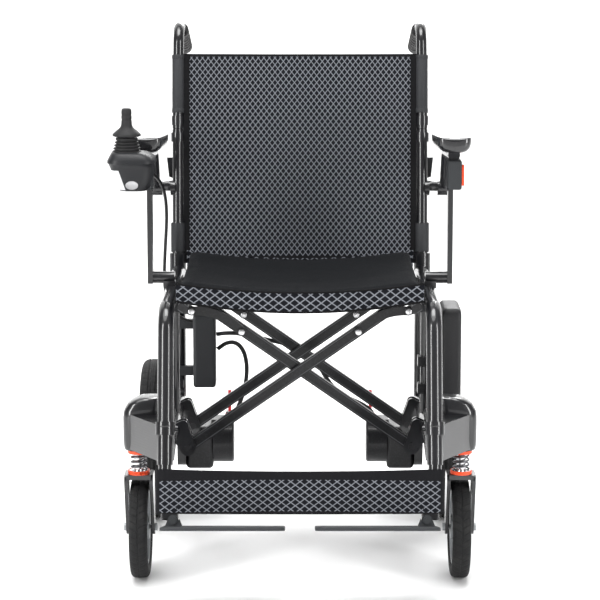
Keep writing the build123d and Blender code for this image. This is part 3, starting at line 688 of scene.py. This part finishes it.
def calfStrap():
    route = [(calf["half"] - 70, calf["round"])]
    for step in range(13):
        angle = math.pi / 2 - math.pi * step / 12
        route.append((calf["half"] + calf["round"] * math.cos(angle), calf["round"] * math.sin(angle)))
    for step in range(1, 60):
        across = 1 - step / 30
        slack = 9 * (1 - across * across)
        route.append((calf["half"] * across, -calf["round"] + slack))
    for step in range(13):
        angle = -math.pi / 2 - math.pi * step / 12
        route.append((-calf["half"] + calf["round"] * math.cos(angle), calf["round"] * math.sin(angle)))
    route.append((-calf["half"] + 70, calf["round"]))
    rows = 12
    mesh = bpy.data.meshes.new("calfStrap")
    points, faces = [], []
    for x, ahead in route:
        for row in range(rows + 1):
            up = (row / rows - 0.5) * calf["tall"]
            narrow = 3.5 * (1 - (x / calf["half"]) ** 2) if abs(x) < calf["half"] else 0
            points.append(legPlace(x, ahead, up - narrow * (1 if row > rows / 2 else 0.4)))
    for i in range(len(route) - 1):
        for row in range(rows):
            a = i * (rows + 1) + row
            faces.append((a, a + 1, a + rows + 2, a + rows + 1))
    mesh.from_pydata(points, [], faces)
    piece = bpy.data.objects.new("calfStrap", mesh)
    bpy.context.collection.objects.link(piece)
    addModifier(piece, "SOLIDIFY", thickness=calf["thick"], offset=0)
    settle(piece)
    smooth(piece, 50)
    border = {"half": 0.235, "low": 0.163, "high": 0.2135}
    finished(piece, meshFabric("calfNet", 0.0156, 0.0115, calf["slope"], border), "left_frame")
    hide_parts("calf_strap")
    spot(-227, -80, 200)
    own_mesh(piece)
    return piece


calfStrap()
print("calf strap made")


# caster springs as wire coils, carried on the suspension
coil = {"radius": 13.0, "wire": 1.7, "turns": 3.2, "low": 201.8, "high": 228.6}


def springPiece(side, sign):
    steps = int(coil["turns"] * 32)
    points, faces = [], []
    ringCount = 10
    for step in range(steps + 1):
        share = step / steps
        angle = share * coil["turns"] * 2 * math.pi
        z = coil["low"] + (coil["high"] - coil["low"]) * share
        for k in range(ringCount):
            turn = 2 * math.pi * k / ringCount
            reach = coil["radius"] + coil["wire"] * math.cos(turn)
            points.append(spot(sign * 279 + reach * math.cos(angle), 45 + reach * math.sin(angle),
                               z + coil["wire"] * math.sin(turn)))
    for step in range(steps):
        for k in range(ringCount):
            a, b = step * ringCount + k, step * ringCount + (k + 1) % ringCount
            faces.append((a, a + ringCount, b + ringCount, b))
    faces.append(tuple(range(ringCount)))
    faces.append(tuple(steps * ringCount + k for k in reversed(range(ringCount))))
    mesh = bpy.data.meshes.new(side + "Spring")
    mesh.from_pydata(points, [], faces)
    piece = bpy.data.objects.new(side + "Spring", mesh)
    bpy.context.collection.objects.link(piece)
    settle(piece)
    bpy.ops.object.mode_set(mode="EDIT")
    bpy.ops.mesh.select_all(action="SELECT")
    bpy.ops.mesh.normals_make_consistent(inside=False)
    bpy.ops.object.mode_set(mode="OBJECT")
    smooth(piece, 60)
    finished(piece, "spring", side + "_suspension")
    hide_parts(side + "_caster_spring")
    spot(sign * 279, 45, 200.5)
    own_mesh(piece)


for side, sign in (("left", -1), ("right", 1)):
    springPiece(side, sign)
    ring = sleeve(side + "LowerRing", spot(sign * 279, 45, 197), (0, 0, 1), 0.0188, 0.0064, 0.0164)
    finished(ring, "orange", side + "_suspension")
    ring = sleeve(side + "UpperRing", spot(sign * 279, 45, 233.2), (0, 0, 1), 0.0188, 0.0062, 0.0087)
    finished(ring, "orange", side + "_frame")
print("springs and rings made")


def moulded(name, rings, along="z", section=None, power=3.0, sides=48):
    # closed rounded form through a list of rings: (place along, centre, centre, half, half)
    bpy.ops.object.select_all(action="DESELECT")
    count = len(rings) + 1
    bpy.ops.mesh.primitive_uv_sphere_add(segments=sides, ring_count=count, radius=1)
    piece = started(name)
    for vertex in piece.data.vertices:
        level = round(math.acos(max(-1.0, min(1.0, vertex.co.z))) / math.pi * count)
        ring = rings[min(max(level - 1, 0), len(rings) - 1)]
        place, first, second, half, deep = ring
        if level in (0, count):
            u, v = 0.0, 0.0
        else:
            turn = math.atan2(vertex.co.y, vertex.co.x)
            c, n = math.cos(turn), math.sin(turn)
            if section:
                u, v = section(c, n)
            else:
                u = math.copysign(abs(c) ** (2 / power), c)
                v = math.copysign(abs(n) ** (2 / power), n)
        if along == "z":
            vertex.co = spot(first + u * half, second + v * deep, place)
        elif along == "y":
            vertex.co = spot(first + u * half, place, second + v * deep)
        else:
            vertex.co = spot(place, first + u * half, second + v * deep)
    settle(piece)
    bpy.ops.object.mode_set(mode="EDIT")
    bpy.ops.mesh.select_all(action="SELECT")
    bpy.ops.mesh.normals_make_consistent(inside=False)
    bpy.ops.object.mode_set(mode="OBJECT")
    smooth(piece, 40)
    return piece


# joystick: bellows, stick with its skirt, and the tapered case
stick = {"x": -297, "y": 98}
bellows = [(771, 12), (771, 18.4)]
for step in range(5):
    base = 769.5 - step * 5.2
    wide = 19 + step * 1.3
    bellows += [(base, wide), (base - 1.8, wide + 0.2), (base - 2.8, wide - 2.2), (base - 3.8, wide - 2)]
bellows += [(743, 24), (742, 20)]
piece = moulded("bellows", [(z, stick["x"], stick["y"], r, r) for z, r in bellows], power=2.0)
finished(piece, "grip", "left_armrest")
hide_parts("joystick_boot")
shape = [(821.5, 5), (820.8, 7.4), (818.5, 8.5), (812, 8.9), (811, 8.3), (809.5, 8.3), (808.5, 8.9), (804, 8.9),
         (803, 8.3), (801.5, 8.3), (800.5, 8.9), (794, 9.2), (790, 10.5), (787, 13), (783.5, 17.5), (779.5, 22),
         (777, 24.2), (775.6, 24.5), (774.2, 23.8), (773, 20), (772.4, 4), (745, 3.5), (716, 3.5)]
piece = moulded("stickKnob", [(z, stick["x"], stick["y"], r, r) for z, r in shape], power=2.0)
finished(piece, "grip", "knob")
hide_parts("joystick_knob")
caseShape = [(747.5, -295, 100, 24, 25), (746.5, -294, 101, 29, 31), (743, -291, 104, 34, 38), (737.5, -289, 106, 39, 43),
             (733, -289, 106, 41.4, 45), (729, -289, 106, 41.6, 45.3), (727.5, -289, 106, 39.6, 43.6),
             (720, -288, 108, 37.5, 43), (706, -287, 110, 34.5, 45), (694, -286.5, 112, 31.5, 46),
             (685, -286, 113, 28.5, 45), (682, -286, 113, 25, 42), (681, -286, 113, 20, 38)]
piece = moulded("joystickCase", caseShape, power=4.0, sides=64)
trim = Shop("caseWithTrim", (0.011, 0.0115, 0.013), 0.42)
band = (trim.z < 0.7175) * (((trim.x - midX) + (trim.z - 0.7) * 0.35) < -0.3035) * (trim.z > 0.684)
grain = trim.noise(1300, 2)
trim.feed("Base Color", trim.mix(band, (0.0095, 0.01, 0.0115), (0.5, 0.5, 0.51)))
trim.feed("Roughness", 0.42 - band * 0.1 + grain * 0.08)
trim.bump(grain, 0.0001)
finished(piece, trim.material, "left_armrest")
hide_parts("joystick_housing", "joystick_cover")
piece = moulded("casePlate", [(65.2, -287, 692.5, 8, 5), (64.9, -287, 692.5, 10.6, 7.2), (66.2, -287, 692.5, 11, 7.6),
                              (69, -287, 692.5, 11, 7.6)], along="y", power=2.0)
finished(piece, "silver", "left_armrest")
print("joystick made")


# armrest pads: bowl shaped below, dished on top
def bowl(c, n):
    u = math.copysign(abs(c) ** 0.6, c)
    if n < 0:
        return u, -abs(n) ** 0.75
    return u, 0.17 * abs(n) ** 0.5 - 0.1 * (1 - u * u) * min(1.0, n * 3)


padShape = [(0.0, 0.25), (0.6, 0.55), (2.2, 0.78), (5, 0.9), (10, 0.97), (18, 1.0), (60, 1.0), (110, 1.0), (160, 1.0),
            (205, 1.0), (232, 0.99), (244, 0.95), (250, 0.86), (253.4, 0.7), (254.6, 0.4)]
for side, sign in (("left", -1), ("right", 1)):
    rings = []
    for reach, share in padShape:
        slope = reach * math.tan(math.radians(4))
        rings.append((159.3 + reach, sign * 270.6, 763.2 - slope - (1 - share) * 8, 29 * share, 26 * share))
    piece = moulded(side + "ArmPad", rings, along="y", section=bowl, sides=56)
    finished(piece, "pad", side + "_armrest")
    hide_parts(side + "_armrest_pad")
print("armrest pads made")


# battery with a rounded top, no grip on its front
batteryShape = [(452, 272, 274, 10, 44), (451, 272, 274, 14, 50), (448, 272, 274, 16.8, 54), (442, 272, 274, 18, 56),
                (436, 272, 274, 18.2, 56), (330, 272, 274, 18.2, 56), (222, 272, 274, 18.2, 56),
                (217, 272, 274, 16.8, 54.6), (215.4, 272, 274, 13, 50)]
piece = moulded("batteryBody", batteryShape, power=8.0, sides=64)
finished(piece, "case", "battery")
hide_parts("battery_case")

knuckle = [(271, 4), (270, 8.6), (267, 9.9), (262, 9.6), (255, 8.8), (248, 9.4), (241, 9.8), (237, 8), (236, 4)]

# rounded covers over the caster springs' seats
for side, sign in (("left", -1), ("right", 1)):
    cover = [(331, -254, 12, 16), (330, -257, 19, 21), (326, -261.5, 25, 24), (319, -266, 30.5, 26), (308, -269, 34, 27),
             (296, -270, 35, 27.4), (270, -270, 35, 27.4), (256, -270.5, 34.5, 27.2), (247, -273.5, 31, 26),
             (241, -277, 26.5, 24), (238, -278.5, 23, 22), (236.8, -279, 19, 19)]
    rings = [(z, -sign * x, 45, half, deep) for z, x, half, deep in cover]
    piece = moulded(side + "SpringCover", rings, power=3.4, sides=56)
    finished(piece, "lacquer", side + "_frame")
    # cast knuckle that carries the armrest's pivot
    rings = [(sign * x, 451.8, 646, r, r) for x, r in knuckle]
    piece = moulded(side + "Knuckle", rings if sign < 0 else rings[::-1], along="x", power=2.4)
    finished(piece, "lacquer", side + "_frame")
print("covers made")


# grey sleeves and cuffs on the canes: name, low end, high end, radius, body
sleeves = [("UpperSleeve", 300, 402, 11.4, "_back"), ("SleeveCuffTop", 398, 405, 11.9, "_back"),
           ("SleeveCuffLow", 297, 305, 11.9, "_back"), ("LowerSleeve", 38, 91, 13.0, "_frame")]
for side, sign in (("left", -1), ("right", 1)):
    along = canePoint(0, 0, 1) - canePoint(0, 0, 0)
    for name, low, high, radius, body in sleeves:
        upper = body == "_back"
        middle = canePoint(sign * (back["caneX"] - (1.0 if upper else 0)), 0, (low + high) / 2)
        piece = sleeve(side + name, middle, along, radius / 1000, (high - low) / 1000, 0.0102 if upper else 0.0126)
        finished(piece, "sleeve", side + body)
print("sleeves made")

# bright bolt heads on the links and the middle pivot
bolt = {"frame": (191, 460), "bar": (103, 423.2), "rows": (170, 347), "ahead": 22.8, "radius": 0.0056, "deep": 0.0026}
for side, sign in (("left", -1), ("right", 1)):
    for x, z in (bolt["frame"], bolt["bar"]):
        for row in bolt["rows"]:
            head = sleeve(side + "LinkBolt", spot(sign * x, row - bolt["ahead"], z), (0, -1, 0),
                          bolt["radius"], bolt["deep"], bevel=0.0007, sides=24)
            finished(head, "steel", side + "_link")
print("bolts made")
